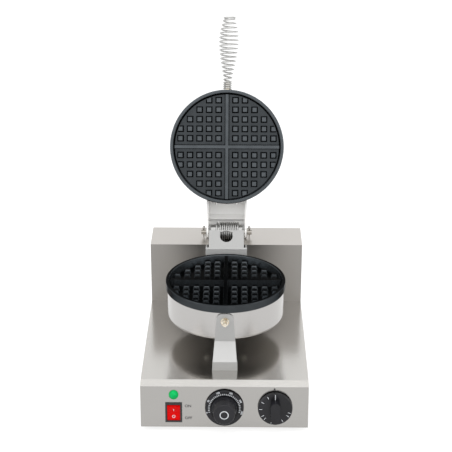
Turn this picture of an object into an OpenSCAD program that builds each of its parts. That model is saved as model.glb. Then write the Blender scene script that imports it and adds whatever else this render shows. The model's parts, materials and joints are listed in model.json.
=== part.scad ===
// Electric waffle iron with a hinged lid, round grid plates and a coiled wire handle.
// X runs across the front, Y from front to back, Z up. The feet stand on Z = 0.

/* [Base box] */
// Width of the base box
base_w = 250; // [220:1:300]
// Height of the control panel up to its bend
panel_h = 66; // [64:1:90]
// How far the control panel leans back at its top
panel_lean = 6; // [2:0.5:12]
// Depth of the sloped band above the panel
band_run = 13.5; // [8:0.5:20]
// Rise of the sloped band above the panel
band_rise = 4.2; // [2:0.2:8]
// Length of the flat deck in front of the rear housing
deck_len = 259.5; // [245:0.5:280]
// Thickness of the stainless sheet
sheet = 1.2; // [0.8:0.1:2]
// Inward flange along the lower edge of the base
flange_w = 16; // [12:1:24]

/* [Rear housing] */
// Depth of the rear housing
housing_d = 70.5; // [66:0.5:90]
// Height of the rear housing above the deck
housing_h = 103.3; // [90:0.1:106]
// Inset of the rear cover from the housing edges
cover_inset = 4; // [3:0.5:8]
// Length of a louvre slot
louvre_l = 34; // [20:1:40]
// Height of a louvre slot
louvre_h = 3; // [2:0.5:5]
// Spacing of the louvre slots
louvre_step = 8; // [6:1:12]
// Radius of the hole through the cable gland
gland_bore_r = 4.2; // [3:0.1:6]

/* [Feet] */
// Height of a rubber foot
foot_h = 7; // [5:0.5:12]
// Radius of a rubber foot
foot_r = 11; // [9:0.5:14]
// Distance of the foot centres from the base edges
foot_inset = 26; // [20:1:40]

/* [Control panel] */
// Distance of the knob centres up the panel
knob_up = 33; // [31:0.2:36]
// Gap between a knob and the panel
knob_gap = 2.2; // [1:0.1:4]
// Sideways place of the timer and of the switch
control_x = 75.5; // [72:0.5:95]
// Radius of the thermostat scale disc
dial_r = 28.9; // [24:0.1:31]
// Thickness of the thermostat scale disc
dial_t = 5; // [4:0.5:7]
// Radius of the raised thermostat grip at its foot
grip_r = 20.3; // [18:0.1:22]
// Radius of the thermostat grip at its cap
cap_r = 15.8; // [13:0.1:17]
// Height of the thermostat grip above the panel
grip_h = 27; // [22:0.5:30]
// Radius of the timer disc
timer_r = 25.9; // [22:0.1:29]
// Thickness of the timer disc
timer_t = 7; // [5:0.5:9]
// Width of the timer's bar grip
bar_w = 14; // [10:0.5:16]
// Length of the timer's bar grip
bar_l = 34; // [30:1:38]
// How far the bar grip lies below the middle of its disc
bar_drop = 1.5; // [0:0.5:3]
// Height of the bar grip above the panel
bar_h = 20; // [18:0.5:24]
// Radius of both control spindles
spindle_r = 3; // [2.5:0.5:4]
// Length of both control spindles above the panel
spindle_l = 15; // [12:0.5:16]
// Width of the switch bezel
switch_w = 25; // [22:0.5:28]
// Height of the switch bezel
switch_h = 31; // [28:0.5:34]
// Distance of the switch centre up the panel
switch_up = 24.1; // [20:0.1:26]
// Half of the rocker's full tilt
rocker_tilt = 8; // [5:0.5:10]
// Radius of the indicator lens
lens_r = 7.2; // [5:0.1:9]
// Distance of the lens centre up the panel
lens_up = 52.9; // [50:0.1:56]

/* [Grid plates] */
// Outer radius of a cast plate
plate_r = 93.7; // [86:0.1:98]
// Width of the flat rim
rim_w = 5.4; // [4:0.1:8]
// Depth of the recess below the rim
recess_d = 12; // [10:0.5:16]
// Draft of the recess wall
recess_draft = 2.4; // [1:0.1:4]
// Thickness of the plate floor
floor_t = 6; // [5:0.5:9]
// Height of the visible ring
ring_h = 12.3; // [10:0.1:16]
// Height of the studs above the floor
stud_h = 7; // [5:0.5:9]
// Width of a stud at its foot
stud_foot = 11; // [9:0.2:12]
// Width of a stud at its top
stud_top = 6.8; // [5:0.1:8]
// Spacing of the studs
stud_step = 15.7; // [14:0.1:17]
// Distance of the first stud row from the middle
stud_first = 13.8; // [12:0.1:15]
// Rows of studs on each side of the middle
stud_rows = 5; // [4:1:5]
// Studs whose middles lie further out than this are left off
stud_limit = 84; // [76:0.5:85]
// Width of the cross ribs at their top
rib_top = 5; // [4:0.1:7]
// Width of the cross ribs at their foot
rib_foot = 7.4; // [6:0.1:9]
// Drop of the rib tops below the rim
rib_drop = 1; // [0.5:0.1:3]

/* [Casings] */
// Outer radius of both round casings
casing_r = 91.2; // [84:0.1:93]
// Height of the lower casing
casing_h = 47.9; // [42:0.1:52]
// Height of the lid casing
lid_casing_h = 44; // [40:0.5:50]
// Wall of both casings
casing_wall = 1; // [0.8:0.1:1.5]
// Radius of the casing edge
casing_edge = 5; // [3:0.5:8]
// Gap between the lower casing and the deck
casing_lift = 36.3; // [30:0.1:45]
// Distance of the plate centre from the rear housing
plate_to_housing = 114; // [112:0.5:125]
// Gap between the closed plates
plate_gap = 0.6; // [0.4:0.1:2]

/* [Heating] */
// Radius of the heating element loop
element_loop_r = 62; // [54:1:66]
// Radius of the heating element tube
element_r = 3.8; // [3:0.1:4.2]
// Thickness of the insulation
wool_t = 9; // [6:0.5:12]
// Radius of the circle of tie screws
tie_circle_r = 34; // [28:1:40]

/* [Front leg] */
// Width of the leg at its foot
leg_foot_w = 38.5; // [34:0.5:46]
// Width of the leg at its top
leg_top_w = 26; // [22:0.5:30]
// Thickness of the leg
leg_t = 2; // [1.5:0.1:3]
// Height of the upright flange above the deck
leg_heel_h = 14.3; // [10:0.1:18]
// Reach of the heel in front of the casing
leg_reach = 27; // [20:0.5:34]
// Height of the leg bolt above the casing bottom
leg_bolt_up = 33.5; // [28:0.5:36]

/* [Hinge] */
// Distance of the hinge pin behind the housing front
pin_back = 28; // [27:0.5:32]
// Height of the hinge pin above the housing top
pin_up = 10.4; // [10:0.1:14]
// Radius of the hinge pin
pin_r = 4; // [3:0.5:4.5]
// Width over the bracket ears
bracket_w = 57.4; // [54:0.2:60]
// Width of the bracket's lower part
saddle_w = 67.6; // [66:0.2:72]
// Thickness of the bracket's plates
plate_t = 2.6; // [2:0.1:3]
// Thickness of the lid arm's plates
arm_t = 3.2; // [2.4:0.1:3.6]
// Gap between a bracket ear and a lid ear
ear_gap = 1.4; // [0.8:0.1:1.6]
// Width of the round-bottomed window in the bracket
window_w = 20.8; // [16:0.2:24]
// Height of the round-bottomed window
window_h = 18.6; // [16:0.2:22]
// Angle of the lid when it stands open
open_angle = 108.7; // [95:0.1:110]

/* [Wound wire] */
// Wire diameter of the hinge spring
spring_wire = 3; // [2:0.1:3]
// Mean radius of the hinge spring
spring_r = 15.6; // [14:0.1:15.8]
// Turns of the hinge spring
spring_turns = 10; // [6:1:11]
// Pitch of the hinge spring
spring_pitch = 3.55; // [3.5:0.05:3.9]
// Pitch of its first, open turn
spring_lead = 6.5; // [3.5:0.1:7]
// Wire diameter of the handle
grip_wire = 2.5; // [2:0.1:2.6]
// Close turns at the foot of the handle
grip_foot_turns = 4; // [3:1:5]
// Open turns of the handle
grip_open_turns = 15; // [12:1:17]
// Pitch of the close turns
grip_foot_pitch = 3.1; // [3.1:0.05:3.5]
// Length of the handle past the close turns
grip_open_l = 106; // [90:1:120]
// Outer radius of the handle foot
grip_foot_r = 7.3; // [7:0.1:8]
// Widest outer radius of the handle
grip_wide_r = 16.6; // [12:0.1:18]
// Outer radius of the handle at its end
grip_end_r = 10.2; // [8:0.1:12]
// Sideways lean of the handle
grip_lean = 1.5; // [0:0.1:3]

/* [Fits] */
// Gap between parts that lie against each other
seat_gap = 0.2; // [0.1:0.05:0.3]
// Radial clearance of a running fit
run_gap = 0.06; // [0.03:0.01:0.1]
// Radial clearance of a screw in its hole
screw_gap = 0.3; // [0.2:0.05:0.5]

/* [Hidden] */
$fn = 96;
eps = 0.01;
steel = [0.76, 0.75, 0.73];
bright = [0.86, 0.86, 0.85];
coated = [0.16, 0.17, 0.19];
moulded = [0.1, 0.1, 0.11];

// Main levels and places
base_z = foot_h + sheet;
panel_tilt = atan(panel_lean / panel_h);
deck_z = base_z + panel_h + band_rise;
deck_y = panel_lean + band_run;
housing_y = deck_y + deck_len;
back_y = housing_y + housing_d;
housing_z = deck_z + housing_h;
plate_y = housing_y - plate_to_housing;
casing_z = deck_z + casing_lift;
rim_z = casing_z + casing_h + ring_h;
pin_y = housing_y + pin_back;
pin_z = housing_z + pin_up;
lid_rim_z = rim_z + plate_gap;
lid_lean = open_angle - 90;
casing_back_y = plate_y + casing_r;
casing_front_y = plate_y - casing_r;
ring_clear = plate_r + seat_gap;
case_clear = casing_r + seat_gap;

// Handle, along the lid from its casing
grip_z = lid_rim_z + ring_h + lid_casing_h * 0.42;
grip_foot_l = grip_foot_turns * grip_foot_pitch;
grip_l = 3 + grip_foot_l + grip_open_l;
stud_l = 3 + grip_foot_l;
grip_reach = plate_y - casing_r - 1 - grip_l;

// The origin lies under the middle of the open iron
front_y = -grip_h * cos(panel_tilt) + (knob_up - cap_r) * sin(panel_tilt);
rear_y = pin_y + (pin_y - grip_reach) * sin(lid_lean)
    + (grip_z - pin_z + grip_end_r) * cos(lid_lean);
origin_y = (front_y + rear_y) / 2;

// Screw sizes
screw_r = 2;
screw_head_r = 3.6;
screw_head_h = 2.2;
tie_r = 2.5;
tie_head_r = 4.6;

function arc(cx, cy, r, a0, a1, n = 8) =
    [for (i = [0:n]) [cx + r * cos(a0 + (a1 - a0) * i / n), cy + r * sin(a0 + (a1 - a0) * i / n)]];

function ring(p, u, v, r, sides = 6) =
    [for (k = [0:sides - 1]) p + r * (cos(360 * k / sides) * u + sin(360 * k / sides) * v)];

// Least gap between turns of a wire: points over half a turn apart, less the wire
function wire_gap(p, d) =
    min([for (i = [0:len(p) - 1], j = [i + 5:1:len(p) - 1]) norm(p[i] - p[j])]) - d;

module placed() {
    translate([0, -origin_y, 0]) children();
}

// Everything on the lid is drawn closed and then swung open about the hinge pin
module lid_place() {
    placed() translate([0, pin_y, pin_z]) rotate([-open_angle, 0, 0])
        translate([0, -pin_y, -pin_z]) children();
}

// Local frame of the control panel: x across, y up the panel, z out of it
module on_panel(x = 0, up = 0) {
    placed() translate([0, 0, base_z]) rotate([90 - panel_tilt, 0, 0])
        translate([x, up, 0]) children();
}

// Local frames of the two plates: z = 0 is the rim, the recess is below it
module on_lower() {
    placed() translate([0, plate_y, rim_z]) children();
}

module on_lid() {
    lid_place() translate([0, plate_y, lid_rim_z]) mirror([0, 0, 1]) children();
}

// Extrusion of a side view, points as [y, z], centred across the width
module across(w) {
    translate([-w / 2, 0, 0]) rotate([90, 0, 90]) linear_extrude(w) children();
}

module along_x(x0, x1, y, z, r) {
    translate([x0, y, z]) rotate([0, 90, 0]) cylinder(r = r, h = x1 - x0);
}

module screw(r, l, head_r = screw_head_r, head_h = screw_head_h) {
    translate([0, 0, -l]) cylinder(r = r, h = l);
    difference() {
        cylinder(r1 = head_r, r2 = head_r * 0.8, h = head_h);
        translate([0, 0, head_h * 0.5]) {
            cube([head_r * 1.1, 0.9, head_h * 1.2], center = true);
            cube([0.9, head_r * 1.1, head_h * 1.2], center = true);
        }
    }
}

module wire(rings) {
    n = len(rings);
    m = len(rings[0]);
    points = [for (r = rings) each r];
    sides = [for (i = [0:n - 2], k = [0:m - 1]) let (a = i * m + k, b = i * m + (k + 1) % m)
        each [[a, b, b + m], [a, b + m, a + m]]];
    ends = [for (k = [1:m - 2]) each [[0, k + 1, k], [(n - 1) * m, (n - 1) * m + k, (n - 1) * m + k + 1]]];
    polyhedron(points = points, faces = concat(sides, ends), convexity = 10);
}

// Base box
foot_x = base_w / 2 - foot_inset;
foot_ys = [foot_inset, back_y - foot_inset];

module base_profile(t) {
    polygon([[t, -eps - t], [panel_lean + t, panel_h - t / 2],
        [panel_lean + band_run + t / 3, panel_h + band_rise - t],
        [back_y - t, panel_h + band_rise - t], [back_y - t, -eps - t]]);
}

module base_outline() {
    polygon([[0, 0], [panel_lean, panel_h], [deck_y, panel_h + band_rise],
        [back_y, panel_h + band_rise], [back_y, 0]]);
}

module base_shell() {
    color(steel) difference() {
        union() {
            difference() {
                placed() translate([0, 0, base_z]) across(base_w) base_outline();
                placed() translate([0, 0, base_z]) across(base_w - 2 * sheet) base_profile(sheet);
            }
            placed() difference() {
                translate([-base_w / 2 + eps, 2 * eps, base_z])
                    cube([base_w - 2 * eps, back_y - 3 * eps, sheet]);
                translate([-base_w / 2 + flange_w, flange_w, base_z - 1])
                    cube([base_w - 2 * flange_w, back_y - 2 * flange_w, sheet + 2]);
            }
        }
        on_panel(-control_x, switch_up) translate([0, 0, -sheet * 2])
            linear_extrude(sheet * 4) square([switch_w - 3, switch_h - 3], center = true);
        on_panel(-control_x, lens_up) translate([0, 0, -5]) cylinder(r = lens_r - 1.2, h = 10);
        for (x = [0, control_x]) on_panel(x, knob_up) translate([0, 0, -5])
            cylinder(r = bush_r + screw_gap, h = 10);
        placed() translate([0, leg_tab_y, deck_z]) for (s = [-1, 1])
            translate([s * leg_foot_w / 4, 0, -3]) cylinder(r = screw_r + screw_gap, h = 6);
        placed() translate([-base_w / 4, housing_y + flange_w, deck_z - 3])
            cube([base_w / 2, housing_d - 2 * flange_w, 6]);
        placed() for (x = [-foot_x, foot_x], y = foot_ys)
            translate([x, y, base_z - 1]) cylinder(r = screw_r + screw_gap, h = 4);
    }
}

// Bottom plate with rows of vent slots
module base_plate() {
    inset = 2;
    color(steel) placed() difference() {
        translate([-base_w / 2 + inset, inset, foot_h])
            cube([base_w - 2 * inset, back_y - 2 * inset, sheet]);
        for (x = [-foot_x, foot_x], y = foot_ys)
            translate([x, y, foot_h - 1]) cylinder(r = screw_r + screw_gap, h = sheet + 2);
        for (i = [-4:4], y = [back_y * 0.3, back_y * 0.65])
            translate([i * 16 - 2, y - 20, foot_h - 1]) cube([4, 40, sheet + 2]);
    }
}

module feet() {
    color([0.12, 0.12, 0.12]) placed() for (x = [-foot_x, foot_x], y = foot_ys)
        translate([x, y, 0]) difference() {
            rotate_extrude() polygon([[0, 0], [foot_r - 1.5, 0], [foot_r - 0.4, 0.8],
                [foot_r, foot_h], [0, foot_h]]);
            translate([0, 0, -1]) cylinder(r = screw_head_r + 1, h = foot_h - 1);
            cylinder(r = screw_r + screw_gap, h = foot_h + 1);
        }
}

module foot_screws() {
    seat = foot_h - 2;
    color(bright) placed() for (x = [-foot_x, foot_x], y = foot_ys)
        translate([x, y, seat]) mirror([0, 0, 1]) screw(screw_r, 2 + 2 * sheet + 2);
}

// Rear housing
spring_cut_y = spring_r + spring_wire / 2 + seat_gap + 0.1;
housing_wall_x = base_w / 2 - sheet;

module rear_housing() {
    color(steel) placed() difference() {
        union() {
            difference() {
                translate([-base_w / 2, housing_y, deck_z]) cube([base_w, housing_d, housing_h]);
                translate([-housing_wall_x, housing_y + sheet, deck_z - 1])
                    cube([2 * housing_wall_x, housing_d, housing_h - sheet + 1]);
            }
            difference() {
                translate([-base_w / 2 + eps, housing_y + eps, deck_z])
                    cube([base_w - 2 * eps, housing_d - eps, sheet]);
                translate([-base_w / 2 + flange_w, housing_y + flange_w, deck_z - 1])
                    cube([base_w - 2 * flange_w, housing_d, sheet + 2]);
            }
            difference() {
                translate([-base_w / 2 + eps, back_y - sheet, deck_z + eps])
                    cube([base_w - 2 * eps, sheet, housing_h - 2 * eps]);
                translate([-base_w / 2 + flange_w, back_y - 5, deck_z + flange_w])
                    cube([base_w - 2 * flange_w, 10, housing_h - 2 * flange_w]);
            }
        }
        translate([-ear_in, pin_y - spring_cut_y, housing_z - 3])
            cube([2 * ear_in, 2 * spring_cut_y, 6]);
        for (x = [-1, 1]) translate([x * tail_screw_x, tail_screw_y, housing_z - 3])
            cylinder(r = screw_r + screw_gap, h = 6);
        for (x = [-1, 1], z = saddle_bolt_zs)
            translate([x * saddle_bolt_x, housing_y - 1, z]) rotate([-90, 0, 0])
                cylinder(r = screw_r + screw_gap, h = 5);
        for (x = [-1, 1], z = cover_screw_zs) translate([x * cover_screw_x, back_y - 4, z])
            rotate([-90, 0, 0]) cylinder(r = screw_r + screw_gap, h = 8);
    }
}

cover_screw_x = base_w / 2 - flange_w / 2;
cover_screw_zs = [deck_z + flange_w / 2 + 2, housing_z - flange_w / 2 - 2];
gland_x = base_w / 2 - flange_w - 22;
gland_z = deck_z + flange_w + 14;

module rear_cover() {
    rows = floor((housing_h - 2 * flange_w - 14) / louvre_step);
    color(steel) placed() difference() {
        translate([-base_w / 2 + cover_inset, back_y, deck_z + cover_inset])
            cube([base_w - 2 * cover_inset, sheet, housing_h - 2 * cover_inset]);
        for (x = [-1, 1], z = cover_screw_zs) translate([x * cover_screw_x, back_y - 1, z])
            rotate([-90, 0, 0]) cylinder(r = screw_r + screw_gap, h = 5);
        for (s = [-1, 0, 1], i = [0:rows - 1])
            translate([s * (louvre_l + 14) - louvre_l / 2, back_y - 1,
                housing_z - flange_w - 8 - i * louvre_step]) cube([louvre_l, sheet + 2, louvre_h]);
        translate([gland_x, back_y - 1, gland_z]) rotate([-90, 0, 0])
            cylinder(r = gland_r + screw_gap, h = 5);
    }
}

module cover_screws() {
    color(bright) placed() for (x = [-1, 1], z = cover_screw_zs)
        translate([x * cover_screw_x, back_y + sheet, z]) rotate([-90, 0, 0]) screw(screw_r, 6);
}

gland_r = gland_bore_r + 3;

module cable_gland() {
    color(moulded) placed() translate([gland_x, back_y + sheet, gland_z]) rotate([-90, 0, 0])
        difference() {
            union() {
                translate([0, 0, -8]) cylinder(r = gland_r, h = 8 + eps);
                cylinder(r = gland_r + 3.5, h = 3);
                translate([0, 0, 3]) cylinder(r = gland_r + 2.5, h = 6, $fn = 6);
                translate([0, 0, -sheet - 4.6]) cylinder(r = gland_r + 3, h = 3.4, $fn = 6);
            }
            translate([0, 0, -9]) cylinder(r = gland_bore_r, h = 20);
        }
}

// Row of screw wells with slots between them, on the inside of the housing front
module terminal_block() {
    ways = 5;
    pitch = 12;
    depth = 22;
    height = 18;
    well_r = 3.4;
    slot_w = 1.6;
    l = ways * pitch;
    color([0.9, 0.9, 0.86]) placed() translate([-l / 2, housing_y + sheet, deck_z + height])
        difference() {
            cube([l, depth, height]);
            for (i = [0:ways - 1]) translate([(i + 0.5) * pitch, depth / 2, height / 2])
                rotate([-90, 0, 0]) cylinder(r = well_r, h = depth);
            for (i = [1:ways - 1]) translate([i * pitch - slot_w / 2, depth * 0.55, -1])
                cube([slot_w, depth, height + 2]);
        }
}

// Controls, bodies as [width, height, depth] behind the panel
bush_r = 5;
thermostat_size = [44, 34, 22];
timer_size = [46, 46, 26];
spindle_tail = 2;

module switch_body() {
    rim = 2.6;
    color(moulded) on_panel(-control_x, switch_up) difference() {
        union() {
            translate([0, 0, 1.1]) cube([switch_w, switch_h, 2.2], center = true);
            translate([0, 0, -13]) cube([switch_w - 3.4, switch_h - 3.4, 26 + eps], center = true);
        }
        translate([0, 0, 2.2 - 9]) linear_extrude(10)
            square([switch_w - 2 * rim, switch_h - 2 * rim], center = true);
    }
}

// Rocker, a bar with two faces that meet over its pivot
module switch_rocker() {
    w = switch_w - 6;
    h = switch_h - 6.8;
    color([0.9, 0.08, 0.06]) on_panel(-control_x, switch_up) translate([0, 0, -2])
        rotate([rocker_tilt, 0, 0]) across(w) polygon(concat(
            [[-h / 2, 0.5], [-h / 2, 4.6], [0, 3.2], [h / 2, 4.6], [h / 2, 0.5]],
            arc(0, 0, 3.2, -10, -170, 8)));
}

module lamp_lens() {
    color([0, 0.75, 0.35]) on_panel(-control_x, lens_up) rotate_extrude()
        polygon(concat([[0, -3], [lens_r - 1.5, -3], [lens_r - 1.5, 0], [lens_r, 0], [lens_r, 1.2]],
            arc(0, 1.2, lens_r - 0.6, 0, 90, 10)));
}

module lamp_body() {
    color(moulded) on_panel(-control_x, lens_up) translate([0, 0, -3])
        mirror([0, 0, 1]) {
            cylinder(r = lens_r - 1.8, h = 16);
            for (s = [-1, 1]) translate([s * 2.6 - 0.4, -1.5, 15]) cube([0.8, 3, 7]);
        }
}

module control_body(size) {
    d = size.z;
    difference() {
        union() {
            translate([-size.x / 2, -size.y / 2, -sheet - d]) cube([size.x, size.y, d - seat_gap]);
            translate([0, 0, -sheet - 1]) cylinder(r = bush_r, h = sheet + 1);
        }
        translate([0, 0, -sheet - d - 1]) cylinder(r = spindle_r + run_gap, h = d + 10);
    }
}

module thermostat_body() {
    color([0.8, 0.8, 0.78]) on_panel(0, knob_up) {
        control_body(thermostat_size);
        for (s = [-1, 1]) translate([s * thermostat_size.x / 3 - 3, -thermostat_size.y / 2 - 3, -16])
            cube([6, 4, 0.8]);
    }
}

// Control spindle with a flat near its end, from inside its body of depth d
module spindle(d) {
    h = sheet + d - 2 * spindle_tail;
    translate([0, 0, -h]) difference() {
        cylinder(r = spindle_r, h = h + spindle_l);
        translate([spindle_r * 0.5, -5, h + 6 - run_gap]) cube([5, 10, spindle_l]);
    }
}

module thermostat_spindle() {
    color(bright) on_panel(0, knob_up) spindle(thermostat_size.z);
}

// Hole of a knob for its spindle
module spindle_hole() {
    translate([0, 0, -1]) difference() {
        cylinder(r = spindle_r + run_gap, h = spindle_l + 1.4);
        translate([spindle_r * 0.5 + run_gap, -5, 7]) cube([5, 10, spindle_l]);
    }
}

// Scale disc with a groove round a tapered, fluted grip, which ends in a crowned cap
module thermostat_knob() {
    flutes = 20;
    flute_r = 1.5;
    groove = 1.2;
    edge = 1.6;
    crown = 1;
    taper = atan((grip_r - cap_r) / (grip_h - dial_t));
    color(moulded) on_panel(0, knob_up) difference() {
        rotate_extrude() polygon(concat([[0, knob_gap], [dial_r - 0.6, knob_gap],
            [dial_r, knob_gap + 0.6], [dial_r - 0.8, dial_t], [grip_r + groove, dial_t],
            [grip_r + groove, dial_t - groove], [grip_r, dial_t - groove]],
            arc(cap_r - edge, grip_h - crown - edge, edge, taper, 80, 5),
            [[cap_r / 2, grip_h - crown / 4], [0, grip_h]]));
        for (i = [0:flutes - 1]) rotate(i * 360 / flutes)
            translate([grip_r + flute_r * 0.7, 0, dial_t]) rotate([0, -taper, 0])
                cylinder(r = flute_r, h = grip_h);
        spindle_hole();
    }
}

module timer_body() {
    color([0.82, 0.8, 0.72]) on_panel(control_x, knob_up) control_body(timer_size);
}

module timer_spindle() {
    color(bright) on_panel(control_x, knob_up) spindle(timer_size.z);
}

// Disc with a bar grip that is rounded at both ends
module timer_knob() {
    r = bar_w / 2;
    color(moulded) on_panel(control_x, knob_up) difference() {
        union() {
            rotate_extrude() polygon([[0, knob_gap], [timer_r - 0.5, knob_gap],
                [timer_r, knob_gap + 0.5], [timer_r - 0.4, timer_t - 0.8],
                [timer_r - 1.4, timer_t], [0, timer_t]]);
            translate([0, -bar_drop, timer_t - 1]) {
                for (s = [-1, 1]) translate([0, s * (bar_l / 2 - r), 0])
                    cylinder(r = r, h = bar_h - timer_t + 1);
                translate([-r, -bar_l / 2 + r, 0]) cube([bar_w, bar_l - bar_w, bar_h - timer_t + 1]);
            }
        }
        spindle_hole();
    }
}

// Plates and casings
recess_r = plate_r - rim_w;
floor_r = recess_r - recess_draft;
spigot_r = casing_r - casing_wall - seat_gap;
spigot_d = 9;
under_z = -recess_d - floor_t;
boss_d = 6;
element_z = under_z - element_r + 1;
groove_r = element_r + seat_gap;
tie_boss_d = 12;

// Half-length of the row of studs at a distance c from the middle
function row_reach(c, places) = stud_foot / 2 + 1
    + max([for (p = places) if (norm([p, c]) < stud_limit) p]);

// Rows of tapered bars, drawn from under the floor so that they fuse with it
module bars(cs, foot, top, h) {
    grow = (foot - top) / h;
    for (c = cs) translate([0, floor_r, -recess_d - 1]) rotate([90, 0, 0]) linear_extrude(2 * floor_r)
        polygon([[c - foot / 2 - grow / 2, 0], [c - top / 2, h + 1],
            [c + top / 2, h + 1], [c + foot / 2 + grow / 2, 0]]);
}

module cast_plate() {
    places = [for (s = [-1, 1], i = [0:stud_rows - 1]) s * (stud_first + i * stud_step)];
    difference() {
        union() {
            rotate_extrude() polygon([[0, under_z], [0, -recess_d], [floor_r, -recess_d],
                [recess_r, -0.8], [recess_r + 0.8, 0], [plate_r - 1.2, 0], [plate_r - 0.3, -0.4],
                [plate_r, -1.2], [plate_r, -ring_h], [spigot_r, -ring_h],
                [spigot_r, -ring_h - spigot_d], [spigot_r - 4, -ring_h - spigot_d],
                [spigot_r - 4, under_z]]);
            intersection() {
                bars(places, stud_foot, stud_top, stud_h);
                rotate(90) bars(places, stud_foot, stud_top, stud_h);
                for (c = places) let (reach = row_reach(c, places))
                    translate([-reach, c - stud_foot / 2 - 1, -recess_d - 2])
                        cube([2 * reach, stud_foot + 2, stud_h + 4]);
                translate([0, 0, -recess_d - 1]) cylinder(r = floor_r - 1.2, h = stud_h + 2);
            }
            intersection() {
                union() for (a = [0, 90]) rotate(a)
                    bars([0], rib_foot, rib_top, recess_d - rib_drop);
                translate([0, 0, -recess_d - 1]) cylinder(r = floor_r + 1, h = recess_d + 1);
            }
            translate([0, 0, under_z - boss_d]) difference() {
                cylinder(r = element_loop_r + 7, h = boss_d + 1);
                translate([0, 0, -1]) cylinder(r = element_loop_r - 7, h = boss_d + 3);
            }
            for (a = [90, 210, 330]) rotate(a) translate([tie_circle_r, 0, under_z - tie_boss_d])
                cylinder(r = 6, h = tie_boss_d + 1);
        }
        rotate_extrude() translate([element_loop_r, element_z]) circle(r = groove_r, $fn = 48);
        translate([0, 0, under_z - boss_d - 1]) difference() {
            cylinder(r = element_loop_r + groove_r, h = element_z - under_z + boss_d + 1);
            translate([0, 0, -1]) cylinder(r = element_loop_r - groove_r, h = boss_d + 4);
        }
        for (a = [90, 210, 330]) rotate(a) translate([tie_circle_r, 0, under_z - tie_boss_d - 1])
            cylinder(r = tie_r + run_gap, h = tie_boss_d + 3);
    }
}

// Round sheet casing, open towards the plate
module casing(h) {
    r = casing_r;
    w = casing_wall;
    e = casing_edge;
    top = -ring_h - eps;
    bottom = -ring_h - h;
    difference() {
        rotate_extrude() polygon(concat([[0, bottom]], arc(r - e, bottom + e, e, -90, 0, 6),
            [[r, top], [r - w, top]], arc(r - e, bottom + e, e - w, 0, -90, 6), [[0, bottom + w]]));
        for (a = [90, 210, 330]) rotate(a) translate([tie_circle_r, 0, bottom - 1])
            cylinder(r = tie_r + screw_gap, h = w + 2);
    }
}

module tie_screws(h) {
    bottom = -ring_h - h;
    for (a = [90, 210, 330]) rotate(a) translate([tie_circle_r, 0, bottom]) mirror([0, 0, 1])
        screw(tie_r, under_z - bottom - 1, tie_head_r, 2.8);
}

// Tubular element: an open loop with two cold ends turned away from the plate
module element(h) {
    gap_angle = 24;
    knuckle = 0.08;
    drop = h + ring_h + element_z - casing_wall - wool_t - 6;
    rotate(90 + gap_angle / 2) rotate_extrude(angle = 360 - gap_angle)
        translate([element_loop_r, element_z]) circle(r = element_r, $fn = 48);
    for (s = [-1, 1]) rotate(90 + s * gap_angle / 2) translate([element_loop_r, 0, element_z]) {
        sphere(r = element_r + knuckle, $fn = 48);
        translate([0, 0, -drop]) cylinder(r = element_r - knuckle, h = drop);
        translate([0, 0, -drop - 5]) cylinder(r = 1.5, h = 6);
    }
}

module wool(h) {
    bottom = -ring_h - h + casing_wall;
    difference() {
        translate([0, 0, bottom]) cylinder(r = casing_r - casing_edge - 1.5, h = wool_t);
        for (a = [90, 210, 330]) rotate(a) translate([tie_circle_r, 0, bottom - 1])
            cylinder(r = tie_r + 1, h = wool_t + 2);
    }
}

module lower_casing() {
    color(steel) difference() {
        on_lower() casing(casing_h);
        placed() translate([0, casing_front_y - 5, leg_bolt_z]) rotate([-90, 0, 0])
            cylinder(r = leg_bolt_r + screw_gap, h = 12);
        placed() for (x = [-1, 1]) translate([x * case_bolt_x, casing_back_y - 14, case_bolt_z])
            rotate([-90, 0, 0]) cylinder(r = screw_r + screw_gap, h = 20);
    }
}

module lower_plate() {
    color(coated) on_lower() cast_plate();
}

module lower_element() {
    color([0.35, 0.36, 0.34]) on_lower() element(casing_h);
}

module lower_insulation() {
    color([0.93, 0.92, 0.88]) on_lower() wool(casing_h);
}

module lower_tie_screws() {
    color(bright) on_lower() tie_screws(casing_h);
}

// Sensing bulb of the thermostat, held against the plate by two clips
module thermostat_bulb() {
    r = 3;
    l = 56;
    color([0.75, 0.5, 0.32]) on_lower() translate([0, 8, under_z - r - seat_gap]) {
        along_x(-l / 2, l / 2, 0, 0, r);
        along_x(-l / 2 - 8, -l / 2 + eps, 0, 0, 1.2);
    }
}

// Front leg
leg_face_y = casing_front_y - leg_t - seat_gap;
leg_heel_y = leg_face_y - leg_reach + leg_t;
leg_tab_l = 26;
leg_tab_y = leg_heel_y + leg_tab_l - 8;
leg_bolt_z = casing_z + leg_bolt_up;
leg_bolt_r = 3;
leg_top_z = leg_bolt_z + 12.5;

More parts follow.
